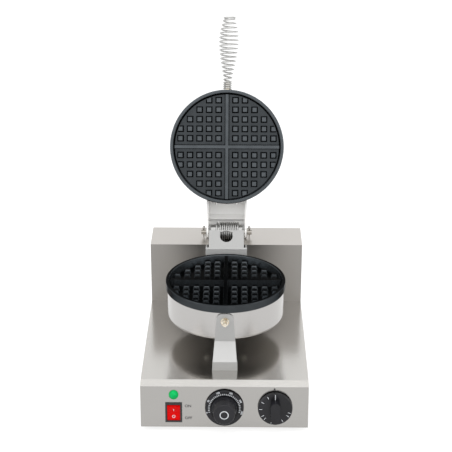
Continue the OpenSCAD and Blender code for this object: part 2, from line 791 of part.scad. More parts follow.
module front_leg() {
    t = leg_t;
    knee_z = deck_z + leg_heel_h;
    top_r = 9;
    color(bright) placed() difference() {
        intersection() {
            across(leg_foot_w) polygon([[leg_heel_y, deck_z], [leg_heel_y, knee_z],
                [leg_face_y, casing_z], [leg_face_y, leg_top_z], [leg_face_y + t, leg_top_z],
                [leg_face_y + t, casing_z - t * 0.4], [leg_heel_y + t, knee_z - t * 0.4],
                [leg_heel_y + t, deck_z + t], [leg_heel_y + leg_tab_l, deck_z + t],
                [leg_heel_y + leg_tab_l, deck_z]]);
            translate([0, leg_heel_y + leg_tab_l + 1, 0]) rotate([90, 0, 0])
                linear_extrude(leg_reach + leg_tab_l + 10) polygon(concat(
                    [[-leg_foot_w / 2, deck_z - 1], [leg_foot_w / 2, deck_z - 1],
                        [leg_foot_w / 2 - 1, knee_z], [leg_foot_w / 2 - 3.5, casing_z]],
                    arc(leg_top_w / 2 - top_r, leg_top_z - top_r, top_r, 0, 90),
                    arc(top_r - leg_top_w / 2, leg_top_z - top_r, top_r, 90, 180),
                    [[3.5 - leg_foot_w / 2, casing_z], [1 - leg_foot_w / 2, knee_z]]));
        }
        translate([0, leg_face_y - 1, leg_bolt_z]) rotate([-90, 0, 0])
            cylinder(r = leg_bolt_r + screw_gap, h = t + 2);
        for (s = [-1, 1]) translate([s * leg_foot_w / 4, leg_tab_y, deck_z - 1])
            cylinder(r = screw_r + screw_gap, h = t + 2);
    }
}

module leg_bolt() {
    inside_y = casing_front_y + casing_wall + 0.6;
    color([0.8, 0.72, 0.5]) placed() translate([0, inside_y, leg_bolt_z]) rotate([90, 0, 0]) {
        cylinder(r = leg_bolt_r, h = inside_y - leg_face_y + 12);
        translate([0, 0, -4]) cylinder(r = 5.6, h = 4, $fn = 6);
    }
}

// Plain washer and hexagon nut on the leg bolt, one stack
module leg_nut() {
    color([0.85, 0.78, 0.6]) placed() translate([0, leg_face_y, leg_bolt_z]) rotate([90, 0, 0])
        difference() {
            union() {
                cylinder(r = 6.4, h = 1.2);
                translate([0, 0, 1.2 - eps]) rotate(30) cylinder(r = 5.6, h = 5, $fn = 6);
            }
            translate([0, 0, -1]) cylinder(r = leg_bolt_r + run_gap, h = 9);
        }
}

module leg_screws() {
    color(bright) placed() for (s = [-1, 1])
        translate([s * leg_foot_w / 4, leg_tab_y, deck_z + leg_t]) screw(screw_r, leg_t + sheet + 4);
}

// Hinge bracket
ear_out = bracket_w / 2;
ear_in = ear_out - plate_t;
saddle_y = casing_back_y + 5.6;
saddle_low_z = casing_z + 6;
fold_z = housing_z - 0.3;
slope = 41;
slope_l = 34.4;
slope_top_y = saddle_y + slope_l * cos(slope);
slope_top_z = fold_z + slope_l * sin(slope);
shoulder_z = fold_z + 2;
tail_y = pin_y + 33;
tail_screw_x = ear_in - 7;
tail_screw_y = tail_y - 5;
saddle_bolt_x = saddle_w / 4;
saddle_bolt_zs = [saddle_low_z + 10, saddle_low_z + 38];
case_bolt_x = saddle_w / 4;
case_bolt_z = saddle_low_z + 24;
ear_boss_r = 9;

module bracket_window() {
    r = window_w / 2;
    translate([0, slope_top_y, slope_top_z]) rotate([slope, 0, 0])
        translate([0, -3, -12]) {
            translate([-r, r - window_h, 0]) cube([window_w, window_h - r, 20]);
            translate([0, r - window_h, 0]) cylinder(r = r, h = 20);
        }
}

module hinge_bracket() {
    t = plate_t;
    nx = t * sin(slope);
    nz = t * cos(slope);
    color(bright) placed() difference() {
        union() {
            // Front face and sloping face, full width up to the shoulder
            across(saddle_w) polygon([[saddle_y, saddle_low_z], [saddle_y, fold_z],
                [saddle_y + 2 / tan(slope), shoulder_z], [saddle_y + 2 / tan(slope) + nx, shoulder_z - nz],
                [saddle_y + t, fold_z - 1], [saddle_y + t, saddle_low_z]]);
            across(bracket_w) polygon([[saddle_y, fold_z], [slope_top_y, slope_top_z],
                [slope_top_y + nx, slope_top_z - nz], [saddle_y + nx, fold_z - nz]]);
            // Side cheeks between the casing and the rear housing
            for (s = [-1, 1]) translate([s * (saddle_w - t) / 2, 0, 0]) across(t) polygon([
                [casing_back_y - 12, saddle_low_z], [casing_back_y - 12, rim_z - ring_h - 4],
                [saddle_y, rim_z - ring_h + 1], [saddle_y, fold_z],
                [housing_y - seat_gap, fold_z], [housing_y - seat_gap, saddle_low_z]]);
            // Back face on the rear housing
            across(saddle_w) polygon([[housing_y - seat_gap - t, saddle_low_z],
                [housing_y - seat_gap - t, fold_z - 6], [housing_y - seat_gap, fold_z - 6],
                [housing_y - seat_gap, saddle_low_z]]);
            // Ears that carry the pin, and the tail on the housing top
            for (s = [-1, 1]) translate([s * (ear_out + ear_in) / 2, 0, 0]) across(t) polygon(concat(
                [[saddle_y + t, fold_z - 1], [slope_top_y, slope_top_z - 1]],
                arc(pin_y + 2, pin_z + 1, ear_boss_r + 1.5, 100, 10),
                [[pin_y + 15, housing_z + t], [tail_y, housing_z + t], [tail_y, housing_z],
                    [housing_y, housing_z], [housing_y - seat_gap - t, fold_z - 1]]));
            across(bracket_w) polygon([[tail_y - 10, housing_z], [tail_y - 10, housing_z + t],
                [tail_y, housing_z + t], [tail_y, housing_z]]);
        }
        bracket_window();
        translate([0, plate_y, 0]) cylinder(r = case_clear, h = rim_z - ring_h);
        translate([0, plate_y, rim_z - ring_h - 0.5]) cylinder(r = ring_clear, h = ring_h + 20);
        along_x(-base_w / 2, base_w / 2, pin_y, pin_z, pin_r + run_gap);
        for (x = [-1, 1]) translate([x * tail_screw_x, tail_screw_y, housing_z - 3])
            cylinder(r = screw_r + screw_gap, h = 9);
        for (x = [-1, 1], z = saddle_bolt_zs) translate([x * saddle_bolt_x, housing_y - 6, z])
            rotate([-90, 0, 0]) cylinder(r = screw_r + screw_gap, h = 8);
        for (x = [-1, 1]) translate([x * case_bolt_x, saddle_y - 2, case_bolt_z])
            rotate([-90, 0, 0]) cylinder(r = screw_r + screw_gap, h = 6);
    }
}

// Screws of the bracket: into the housing front, its top, and the lower casing
module bracket_bolts() {
    case_y = plate_y + sqrt(pow(casing_r - casing_wall, 2) - pow(case_bolt_x + screw_head_r, 2)) - 0.3;
    color(bright) placed() {
        for (x = [-1, 1], z = saddle_bolt_zs)
            translate([x * saddle_bolt_x, housing_y - seat_gap - plate_t, z])
                rotate([90, 0, 0]) screw(screw_r, plate_t + sheet + 4);
        for (x = [-1, 1]) translate([x * tail_screw_x, tail_screw_y, housing_z + plate_t])
            screw(screw_r, plate_t + sheet + 4);
        for (x = [-1, 1]) translate([x * case_bolt_x, case_y, case_bolt_z])
            rotate([90, 0, 0]) screw(screw_r, saddle_y + plate_t + 1.5 - case_y);
    }
}

// Hinge pin with a cross hole near each end
pin_half = saddle_w / 2 + 8;
split_x = saddle_w / 2 + 4;
split_r = 1;

module hinge_pin() {
    color(bright) placed() difference() {
        along_x(-pin_half, pin_half, pin_y, pin_z, pin_r);
        for (s = [-1, 1]) translate([s * split_x, pin_y, pin_z])
            cylinder(r = split_r + run_gap, h = 3 * pin_r, center = true);
    }
}

// The turns have flat sides, so the sleeve fits inside them
spring_steps = 8;
sleeve_r = spring_r * cos(180 / spring_steps) - spring_wire / 2 - 0.3;

module hinge_sleeve() {
    half = ear_in - seat_gap;
    color([0.72, 0.72, 0.7]) placed() difference() {
        along_x(-half, half, pin_y, pin_z, sleeve_r);
        along_x(-half - 1, half + 1, pin_y, pin_z, pin_r + run_gap);
    }
}

lid_ear_in = ear_out + ear_gap;
lid_ear_out = lid_ear_in + arm_t;

module hinge_washers() {
    color(bright) placed() for (s = [-1, 1]) difference() {
        along_x(s * (lid_ear_out + 0.9) - 0.6, s * (lid_ear_out + 0.9) + 0.6, pin_y, pin_z, 7);
        along_x(s * (lid_ear_out + 0.9) - 2, s * (lid_ear_out + 0.9) + 2, pin_y, pin_z, pin_r + run_gap);
    }
}

// Split pins: an eye above the hinge pin and two legs bent apart below it
module split_pins() {
    eye = 2.4;
    color(bright) placed() for (s = [-1, 1]) translate([s * split_x, pin_y, pin_z]) {
        cylinder(r = split_r, h = 2 * pin_r + 3, center = true);
        translate([0, 0, pin_r + 1.5 + eye]) rotate([0, 90, 30 * s]) rotate_extrude()
            translate([eye, 0]) circle(r = 0.8, $fn = 24);
        for (a = [-1, 1]) translate([0, 0, -pin_r - 1.5]) {
            sphere(r = split_r, $fn = 24);
            rotate([180 - a * 55, 0, 0]) cylinder(r = 0.8, h = 5);
        }
    }
}

// Hinge spring, one tube: from a leg at the front, over the pin turn by turn to a leg at the
// back. Both legs reach down through the opening in the housing top and bear on its edges.
spring_leg = pin_up + 10;
spring_n = (spring_turns - 0.5) * spring_steps;
spring_x0 = -(spring_lead + (spring_turns - 1.5) * spring_pitch) / 2 + 1;

function spring_x(i) = spring_x0 + min(i / spring_steps, 1) * spring_lead
    + max(i / spring_steps - 1, 0) * spring_pitch;

function spring_out(i) = let (a = i * 360 / spring_steps) [0, -cos(a), sin(a)];

function spring_at(i) = [spring_x(i), pin_y, pin_z] + spring_r * spring_out(i);

spring_legs = [spring_leg, spring_leg - spring_wire, spring_wire];
spring_points = concat([for (h = spring_legs) spring_at(0) - [0, 0, h]],
    [for (i = [0:spring_n]) spring_at(i)],
    [for (k = [2:-1:0]) spring_at(spring_n) - [0, 0, spring_legs[k]]]);
spring_outs = concat([for (h = spring_legs) [0, -1, 0]], [for (i = [0:spring_n]) spring_out(i)],
    [for (h = spring_legs) [0, 1, 0]]);

module hinge_spring() {
    echo("hinge spring, least gap between turns", wire_gap(spring_points, spring_wire));
    color(bright) placed() wire([for (i = [0:len(spring_points) - 1])
        ring(spring_points[i], spring_outs[i], [1, 0, 0], spring_wire / 2)]);
}

// Lid arm, drawn closed: f is forward of the pin, h above it. The plate runs on past the pin
// and stops the lid on the bracket's tail, a lip under it covers the spring
strip_f = 20.2;
bend_f = 28.8;
arm_h = 21;
strip_drop = 5.5;
arm_end = (seat_gap + 0.1 + plate_t - pin_up + (arm_h + arm_t) * sin(lid_lean)) / cos(lid_lean);
arm_pad_low = lid_rim_z + ring_h + 4;
arm_pad_top = lid_rim_z + ring_h + lid_casing_h - 9;

module lid_arm() {
    t = arm_t;
    z = pin_z + arm_h;
    color(bright) lid_place() difference() {
        union() {
            intersection() {
                translate([0, plate_y, arm_pad_low]) difference() {
                    cylinder(r = case_clear + t, h = arm_pad_top - arm_pad_low);
                    translate([0, 0, -1]) cylinder(r = case_clear, h = 100);
                }
                translate([-lid_ear_out, plate_y, 0]) cube([2 * lid_ear_out, 200, 400]);
            }
            across(2 * lid_ear_out) polygon([[casing_back_y - 4, z], [pin_y - arm_end, z],
                [pin_y - arm_end, z + t], [casing_back_y - 4, z + t]]);
            across(2 * lid_ear_out) polygon([[pin_y - bend_f - 1, z + t / 2], [pin_y - bend_f, z],
                [pin_y - strip_f, z - strip_drop],
                [pin_y - strip_f + plate_t * 0.55, z - strip_drop + plate_t * 0.85],
                [pin_y - bend_f + plate_t, z + t / 2]]);
            for (s = [-1, 1]) translate([s * (lid_ear_out + lid_ear_in) / 2, 0, 0]) across(t) {
                polygon([[casing_back_y - 8, arm_pad_low], [casing_back_y - 8, z + t],
                    [pin_y - arm_end, z + t], [pin_y + ear_boss_r - 0.3, pin_z + 2],
                    [pin_y, pin_z - ear_boss_r], [pin_y - 4, pin_z - 8]]);
                translate([pin_y, pin_z]) circle(r = ear_boss_r);
            }
        }
        translate([0, plate_y, lid_rim_z - 20]) cylinder(r = case_clear, h = 120);
        translate([0, plate_y, lid_rim_z - 20]) cylinder(r = ring_clear + 0.2, h = 20.2 + ring_h);
        along_x(-base_w / 2, base_w / 2, pin_y, pin_z, pin_r + run_gap);
        for (x = [-1, 1], z = arm_screw_zs) translate([x * case_bolt_x, casing_back_y - 14, z])
            rotate([-90, 0, 0]) cylinder(r = screw_r + screw_gap, h = 24);
    }
}

arm_screw_zs = [arm_pad_low + 10, arm_pad_top - 4];

module lid_arm_screws() {
    seat_y = plate_y + sqrt(pow(casing_r - casing_wall, 2) - pow(case_bolt_x + screw_head_r, 2)) - 0.3;
    color(bright) lid_place() for (x = [-1, 1], z = arm_screw_zs)
        translate([x * case_bolt_x, seat_y, z]) rotate([90, 0, 0])
            screw(screw_r, casing_back_y + arm_t + 2 - seat_y);
}

module lid_casing() {
    color(steel) difference() {
        on_lid() casing(lid_casing_h);
        lid_place() for (x = [-1, 1], z = arm_screw_zs)
            translate([x * case_bolt_x, casing_back_y - 14, z]) rotate([-90, 0, 0])
                cylinder(r = screw_r + screw_gap, h = 24);
        lid_place() translate([0, casing_front_y - 5, grip_z]) rotate([-90, 0, 0])
            cylinder(r = 3 + screw_gap, h = 12);
    }
}

module lid_plate() {
    color(coated) on_lid() cast_plate();
}

module lid_element() {
    color([0.35, 0.36, 0.34]) on_lid() element(lid_casing_h);
}

module lid_insulation() {
    color([0.93, 0.92, 0.88]) on_lid() wool(lid_casing_h);
}

module lid_tie_screws() {
    color(bright) on_lid() tie_screws(lid_casing_h);
}

// Local frame of the handle: z runs out of the lid casing along the handle
module on_handle() {
    lid_place() translate([0, casing_front_y, grip_z]) rotate([90, 0, 0])
        rotate([0, grip_lean, 0]) children();
}

module handle_stud() {
    r = (grip_foot_r - grip_wire / 2) * cos(180 / grip_steps) - grip_wire / 2 - 0.3;
    color([0.82, 0.78, 0.66]) on_handle() {
        translate([0, 0, 1]) cylinder(r = r, h = stud_l - 1);
        translate([0, 0, 0.3]) cylinder(r = grip_foot_r, h = 2);
        translate([0, 0, -8]) cylinder(r = 3, h = 10);
        translate([0, 0, -6.5]) cylinder(r = 5.8, h = 4.4, $fn = 6);
    }
}

// Handle grip: close turns round the stud, then open turns that swell and close in again
grip_steps = 8;
grip_n1 = grip_foot_turns * grip_steps;
grip_n2 = grip_open_turns * grip_steps;

function grip_radius(u) = u < 0.66
    ? grip_foot_r + (grip_wide_r - grip_foot_r) * pow(sin(90 * u / 0.66), 1.35)
    : grip_end_r + (grip_wide_r - grip_end_r) * cos(90 * (u - 0.66) / 0.34);

function grip_rise(i) = i <= grip_n1 ? i * grip_foot_pitch / grip_steps
    : grip_foot_l + grip_open_l * (i - grip_n1) / grip_n2;

function grip_mean(i) = i <= grip_n1 ? grip_foot_r - grip_wire / 2
    : grip_radius((i - grip_n1) / grip_n2) - grip_wire / 2;

function grip_at(i) = [grip_mean(i) * cos(i * 360 / grip_steps), grip_mean(i) * sin(i * 360 / grip_steps),
    2.3 + grip_wire / 2 + 0.2 + grip_rise(i)];

grip_points = [for (i = [0:grip_n1 + grip_n2]) grip_at(i)];
grip_last = grip_points[len(grip_points) - 1];
grip_first = grip_points[0];

module handle_grip() {
    n = grip_n1 + grip_n2;
    run = grip_wire;
    path = concat([grip_first - [0, run, 0]], grip_points, [grip_last + [0, run, 0]]);
    outs = concat([[1, 0, 0]], [for (i = [0:n]) [cos(i * 360 / grip_steps), sin(i * 360 / grip_steps), 0]],
        [[cos(n * 360 / grip_steps), sin(n * 360 / grip_steps), 0]]);
    echo("handle grip, least gap between turns", wire_gap(path, grip_wire));
    color(bright) on_handle() wire([for (i = [0:len(path) - 1])
        ring(path[i], outs[i], [0, 0, 1], grip_wire / 2)]);
}

base_shell();
base_plate();
feet();
foot_screws();
rear_housing();
rear_cover();
cover_screws();
cable_gland();
terminal_block();
switch_body();
switch_rocker();
lamp_lens();
lamp_body();
thermostat_body();
thermostat_spindle();
thermostat_knob();
timer_body();
timer_spindle();
timer_knob();
lower_casing();
lower_plate();
lower_element();
lower_insulation();
lower_tie_screws();
thermostat_bulb();
front_leg();
leg_bolt();
leg_nut();
leg_screws();
hinge_bracket();
bracket_bolts();
hinge_pin();
hinge_sleeve();
hinge_spring();
split_pins();
hinge_washers();
lid_arm();
lid_arm_screws();
lid_casing();
lid_plate();
lid_element();
lid_insulation();
lid_tie_screws();
handle_stud();
handle_grip();
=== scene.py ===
"""Looks of the electric waffle iron: finishes, markings, wound wire, light and camera."""
import json
import math

import bmesh
import bpy
from mathutils import Matrix, Vector


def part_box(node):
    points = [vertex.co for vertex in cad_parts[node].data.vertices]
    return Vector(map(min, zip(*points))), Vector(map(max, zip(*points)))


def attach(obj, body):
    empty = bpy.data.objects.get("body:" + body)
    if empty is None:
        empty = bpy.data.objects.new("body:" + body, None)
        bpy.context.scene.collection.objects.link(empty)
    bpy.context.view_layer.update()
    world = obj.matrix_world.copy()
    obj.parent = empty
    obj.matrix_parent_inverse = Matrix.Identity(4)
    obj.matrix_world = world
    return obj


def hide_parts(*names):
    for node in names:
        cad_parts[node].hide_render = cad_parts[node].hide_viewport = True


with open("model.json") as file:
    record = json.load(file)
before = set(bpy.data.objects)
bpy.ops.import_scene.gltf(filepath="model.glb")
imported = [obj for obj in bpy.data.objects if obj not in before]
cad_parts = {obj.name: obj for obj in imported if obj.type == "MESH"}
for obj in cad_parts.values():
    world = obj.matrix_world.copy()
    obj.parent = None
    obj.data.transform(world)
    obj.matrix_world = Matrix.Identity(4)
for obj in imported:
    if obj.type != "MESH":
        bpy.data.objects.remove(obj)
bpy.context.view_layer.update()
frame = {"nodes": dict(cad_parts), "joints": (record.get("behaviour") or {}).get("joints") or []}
nodes = frame["nodes"]
MM = 0.001

# Joints, and the control panel's own axes
joints = {j["name"]: j for j in frame["joints"]}
HINGE = Vector(joints["lid_hinge"]["pos_m"])
OPEN_ANGLE = math.radians(max(joints["lid_hinge"]["range_deg"]))
LID = Matrix.Translation(HINGE) @ Matrix.Rotation(-OPEN_ANGLE, 4, "X")
LID_FACE = Vector((0, -math.sin(OPEN_ANGLE), -math.cos(OPEN_ANGLE)))
PANEL_OUT = -Vector(joints["thermostat_turn"]["axis"]).normalized()
PANEL_X = Vector((1, 0, 0))
PANEL_UP = PANEL_OUT.cross(PANEL_X)
DIAL = Vector(joints["thermostat_turn"]["pos_m"])
TIMER = Vector(joints["timer_turn"]["pos_m"])
ROCKER = Vector(joints["switch_rock"]["pos_m"])


# Steps shared by the camera, the pieces and the lamps
def add_object(name, data):
    obj = bpy.data.objects.new(name, data)
    bpy.context.scene.collection.objects.link(obj)
    return obj


def place_on(base, x_axis, y_axis, z_axis):
    """Place at base, turned so that its own axes are the three given."""
    turn = Matrix((x_axis, y_axis, z_axis)).transposed().to_4x4()
    return Matrix.Translation(base) @ turn


# Camera, fitted to the box's edges and the two plates in the photograph
CAMERA_PITCH = 23.41
CAMERA_YAW = -0.56
CAMERA_ROLL = 0.08
CAMERA_LENS = 97.93
CAMERA_SENSOR = 36.0
CAMERA_REACH = 20
CAMERA_FROM_PANEL = 1.5691
CAMERA_HEIGHT = 1.01546
CAMERA_SIDE = 0.0174


def make_camera():
    pitch = math.radians(CAMERA_PITCH)
    yaw = math.radians(CAMERA_YAW)
    roll = math.radians(CAMERA_ROLL)
    level = math.cos(pitch)
    forward = Vector((math.sin(yaw) * level, math.cos(yaw) * level, -math.sin(pitch)))
    right = Vector((math.cos(yaw), -math.sin(yaw), 0))
    up = right.cross(forward)
    place = Vector((CAMERA_SIDE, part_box("base_shell")[0].y - CAMERA_FROM_PANEL, CAMERA_HEIGHT))
    right_rolled = right * math.cos(roll) + up * math.sin(roll)
    up_rolled = up * math.cos(roll) - right * math.sin(roll)
    data = bpy.data.cameras.new("camera")
    data.lens = CAMERA_LENS
    data.sensor_width = CAMERA_SENSOR
    data.clip_end = CAMERA_REACH
    cam = add_object("camera", data)
    cam.matrix_world = place_on(place, right_rolled, up_rolled, -forward)
    bpy.context.scene.camera = cam


# Brushing of steel: lines per metre, their depth, and how little turned lines change round a drum
BRUSH_SCALE = 2600
BRUSH_DEPTH = 0.01 * MM
TURNED_GRAIN = 0.004
# Stretch of the lines, along X on the sheets, and along Y and Z on the folded straps
ALONG_SHEET = (0.012, 1, 1)
ALONG_STRAP = (1, 0.05, 0.05)


# Materials
class Look:
    """A Principled material with short calls for its procedural detail."""

    def __init__(self, name, color, metallic=0.0, roughness=0.5):
        self.mat = bpy.data.materials.new(name)
        self.mat.use_nodes = True
        self.tree = self.mat.node_tree
        self.bsdf = self.tree.nodes["Principled BSDF"]
        self.set("Base Color", (*color, 1))
        self.set("Metallic", metallic)
        self.set("Roughness", roughness)
        self.coords = None
        self.normal = None

    def set(self, socket, value):
        self.bsdf.inputs[socket].default_value = value

    def node(self, kind, **values):
        n = self.tree.nodes.new(kind)
        for key, value in values.items():
            if key in n.inputs:
                n.inputs[key].default_value = value
            else:
                setattr(n, key, value)
        return n

    def link(self, a, b):
        self.tree.links.new(a, b)

    def place(self, scale=(1, 1, 1)):
        """Object coordinates in metres, stretched by scale."""
        if self.coords is None:
            self.coords = self.node("ShaderNodeTexCoord").outputs["Object"]
        m = self.node("ShaderNodeMapping")
        m.inputs["Scale"].default_value = scale
        self.link(self.coords, m.inputs["Vector"])
        return m.outputs["Vector"]

    def noise(self, scale, detail=3.0, stretch=(1, 1, 1), vector=None):
        n = self.node("ShaderNodeTexNoise")
        n.inputs["Scale"].default_value = scale
        n.inputs["Detail"].default_value = detail
        self.link(vector if vector else self.place(stretch), n.inputs["Vector"])
        return n.outputs["Fac"]

    def ramp(self, fac, low, high, start=0.35, end=0.65):
        """Maps a texture to a range of values or colours."""
        r = self.node("ShaderNodeMapRange")
        r.inputs["From Min"].default_value = start
        r.inputs["From Max"].default_value = end
        r.inputs["To Min"].default_value = low
        r.inputs["To Max"].default_value = high
        self.link(fac, r.inputs["Value"])
        return r.outputs["Result"]

    def shade(self, fac, a, b, start=0.3, end=0.7):
        """Colour that runs from a to b with a texture or a direction."""
        r = self.node("ShaderNodeValToRGB")
        r.color_ramp.elements[0].position = start
        r.color_ramp.elements[1].position = end
        r.color_ramp.elements[0].color = (*a, 1)
        r.color_ramp.elements[1].color = (*b, 1)
        self.link(fac, r.inputs["Fac"])
        return r.outputs["Color"]

    def tint(self, fac, a, b, start=0.3, end=0.7):
        self.link(self.shade(fac, a, b, start, end), self.bsdf.inputs["Base Color"])

    def times(self, a, b):
        """Product of two colours."""
        m = self.node("ShaderNodeMix", data_type="RGBA", blend_type="MULTIPLY")
        m.inputs["Factor"].default_value = 1
        self.link(a, m.inputs["A"])
        self.link(b, m.inputs["B"])
        return m.outputs["Result"]

    def vector_math(self, operation, vector, fixed=None):
        """Node that works on a vector socket, with a fixed vector where it takes one."""
        step = self.node("ShaderNodeVectorMath", operation=operation)
        self.link(vector, step.inputs[0])
        if fixed is not None:
            step.inputs[1].default_value = fixed
        return step

    def facing(self, axis):
        """How far a face points along an axis of the part, from -1 to 1."""
        normal = self.node("ShaderNodeTexCoord").outputs["Normal"]
        return self.vector_math("DOT_PRODUCT", normal, axis).outputs["Value"]

    def height(self, axis, low, high):
        """Place along an axis, 0 at low and 1 at high."""
        dot = self.vector_math("DOT_PRODUCT", self.place(), axis)
        return self.ramp(dot.outputs["Value"], 0, 1, low, high)

    def away(self, centre, axis, start, end):
        """Distance from an axis through centre, 0 at start and 1 at end."""
        offset = self.vector_math("SUBTRACT", self.place(), centre)
        across = self.vector_math("CROSS_PRODUCT", offset.outputs["Vector"], axis)
        length = self.vector_math("LENGTH", across.outputs["Vector"])
        return self.ramp(length.outputs["Value"], 0, 1, start, end)

    def blend(self, fac, a, b):
        """Colour a where fac is 0 and colour b where it is 1; each may be a socket."""
        m = self.node("ShaderNodeMix", data_type="RGBA")
        self.link(fac, m.inputs["Factor"])
        for side, value in (("A", a), ("B", b)):
            if hasattr(value, "node"):
                self.link(value, m.inputs[side])
            else:
                m.inputs[side].default_value = (*value, 1)
        return m.outputs["Result"]

    def along(self, axis):
        """Coordinates that run along an axis and hardly change across it."""
        project = self.vector_math("PROJECT", self.place(), axis)
        add = self.vector_math("ADD", project.outputs["Vector"])
        self.link(self.place((TURNED_GRAIN,) * 3), add.inputs[1])
        return add.outputs["Vector"]

    def rough(self, fac, low, high, start=0.3, end=0.7):
        self.link(self.ramp(fac, low, high, start, end), self.bsdf.inputs["Roughness"])

    def bump(self, fac, height, strength=1.0):
        b = self.node("ShaderNodeBump")
        b.inputs["Distance"].default_value = height
        b.inputs["Strength"].default_value = strength
        self.link(fac, b.inputs["Height"])
        if self.normal is not None:
            self.link(self.normal, b.inputs["Normal"])
        self.normal = b.outputs["Normal"]
        self.link(self.normal, self.bsdf.inputs["Normal"])


def brushed(name, color, roughness, stretch=(1, 1, 1), metallic=1.0, grain=1.0, upright=1.0,
            axis=None, back=1.0):
    """Steel with fine brushing, long where stretch is small, or turned about an axis.

    Upright faces carry painted shade: their tone is multiplied by the share upright, which
    darkens them below 1 and lightens them above 1.
    The face that points against the axis has its tone multiplied by back.
    """
    look = Look(name, color, metallic=metallic, roughness=roughness)
    lines = look.noise(BRUSH_SCALE, 1.0, stretch, look.along(axis) if axis else None)
    smudge = look.noise(9, 4.0)
    dark = tuple(c * (1 - 0.05 * grain) for c in color)
    base = look.shade(lines, dark, color)
    # Painted shade on upright faces, or painted light where the share upright is above 1
    if upright != 1:
        level = look.shade(look.facing((0, 0, 1)), (upright,) * 3, (1, 1, 1), 0.1, 0.5)
        base = look.times(base, level)
    if axis and back != 1:
        level = look.shade(look.facing(-Vector(axis)), (1, 1, 1), (back,) * 3, 0.6, 0.9)
        base = look.times(base, level)
    look.link(base, look.bsdf.inputs["Base Color"])
    worn_and_lit = look.node("ShaderNodeMath", operation="MULTIPLY")
    look.link(lines, worn_and_lit.inputs[0])
    look.link(look.ramp(smudge, 0.8, 1.2), worn_and_lit.inputs[1])
    look.rough(worn_and_lit.outputs[0], roughness - 0.03 * grain, roughness + 0.05 * grain)
    look.bump(lines, BRUSH_DEPTH * grain, 0.2)
    return look


# Share of the steel's tone that is left in the painted shade on the lower side of the spring and
# sleeve, in red, green and blue
SHADE_SHARE = (0.16, 0.14, 0.11)


def make_metals(looks):
    # Each share upright below is painted shade on upright faces, or painted light where it is above
    # 1
    looks["stainless"] = brushed("stainless_sheet", (0.64, 0.625, 0.60), 0.17, ALONG_SHEET,
                                 grain=0.8, upright=0.58)
    looks["housing"] = brushed("stainless_housing", (0.63, 0.605, 0.575), 0.36, ALONG_SHEET,
                               grain=0.5, upright=0.47)
    drum = (0.44, 0.43, 0.42)
    looks["casing"] = brushed("stainless_casing", drum, 0.24, grain=0.2, axis=(0, 0, 1), back=2)
    looks["lid_casing"] = brushed("stainless_lid_casing", drum, 0.24,
                                  grain=0.2, axis=LID_FACE, back=1.5)
    looks["leg"] = brushed("bright_steel", (0.49, 0.49, 0.485), 0.42, ALONG_STRAP,
                           metallic=0.5, grain=0.5, upright=0.9)
    looks["bracket"] = brushed("satin_steel", (0.38, 0.38, 0.375), 0.42, ALONG_STRAP,
                               metallic=0.5, grain=0.5, upright=2.1)
    # The arm's steel is pale and hardly metallic, its tone raised further as painted light on its
    # faces
    looks["arm"] = brushed("pale_painted_light_steel", (0.95, 0.945, 0.93), 0.45, ALONG_STRAP,
                           metallic=0.1, grain=0.5)
    looks["pin"] = brushed("pin_steel", (0.34, 0.32, 0.29), 0.3)
    looks["fastener"] = brushed("fastener_steel", (0.66, 0.655, 0.64), 0.26)

    wire = Look("wound_wire", (0.48, 0.48, 0.47), metallic=1.0, roughness=0.16)
    draw = wire.noise(500, 2.0)
    wire.rough(draw, 0.12, 0.22)
    wire.bump(draw, 0.01 * MM, 0.2)
    looks["wire"] = wire

    for name, tone in (("spring", 0.42), ("sleeve", 0.38)):
        bottom_shaded = Look("bottom_shaded_" + name, (tone, tone, tone), metallic=1.0, roughness=0.36)
        # Painted shade: darker towards a brown below the pin, where the spring and sleeve sit in
        # shadow inside the bracket
        unshaded = bottom_shaded.height((0, 0, 1), HINGE.z - 8 * MM, HINGE.z + 2 * MM)
        painted_shade = tuple(tone * share for share in SHADE_SHARE)
        bottom_shaded.tint(unshaded, painted_shade, (tone, tone, tone * 0.98), 0.1, 0.9)
        bottom_shaded.rough(bottom_shaded.noise(300, 3.0), 0.3, 0.42)
        looks[name] = bottom_shaded

    brass = Look("pale_brass", (0.70, 0.60, 0.42), metallic=1.0, roughness=0.24)
    tarnish = brass.noise(220, 4.0)
    brass.tint(tarnish, (0.50, 0.42, 0.31), (0.82, 0.79, 0.71))
    brass.rough(tarnish, 0.18, 0.34)
    looks["brass"] = brass

    tube = Look("heater_tube", (0.10, 0.105, 0.095), metallic=0.6, roughness=0.5)
    scale = tube.noise(150, 4.0)
    tube.tint(scale, (0.07, 0.07, 0.065), (0.14, 0.145, 0.13))
    looks["tube"] = tube

    copper = Look("copper", (0.62, 0.30, 0.16), metallic=1.0, roughness=0.3)
    copper.rough(copper.noise(200, 3.0), 0.24, 0.4)
    looks["copper"] = copper


# Plates: depth of the recesses, outer radius, and the lid plate's rim under the pin when closed
RECESS_DEPTH = 12 * MM
RIM_RADIUS = (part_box("lower_plate")[1].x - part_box("lower_plate")[0].x) / 2
LID_RIM_FROM_PIN = 16.6 * MM
COAT_TINT = Vector((0.90, 1.0, 1.08))


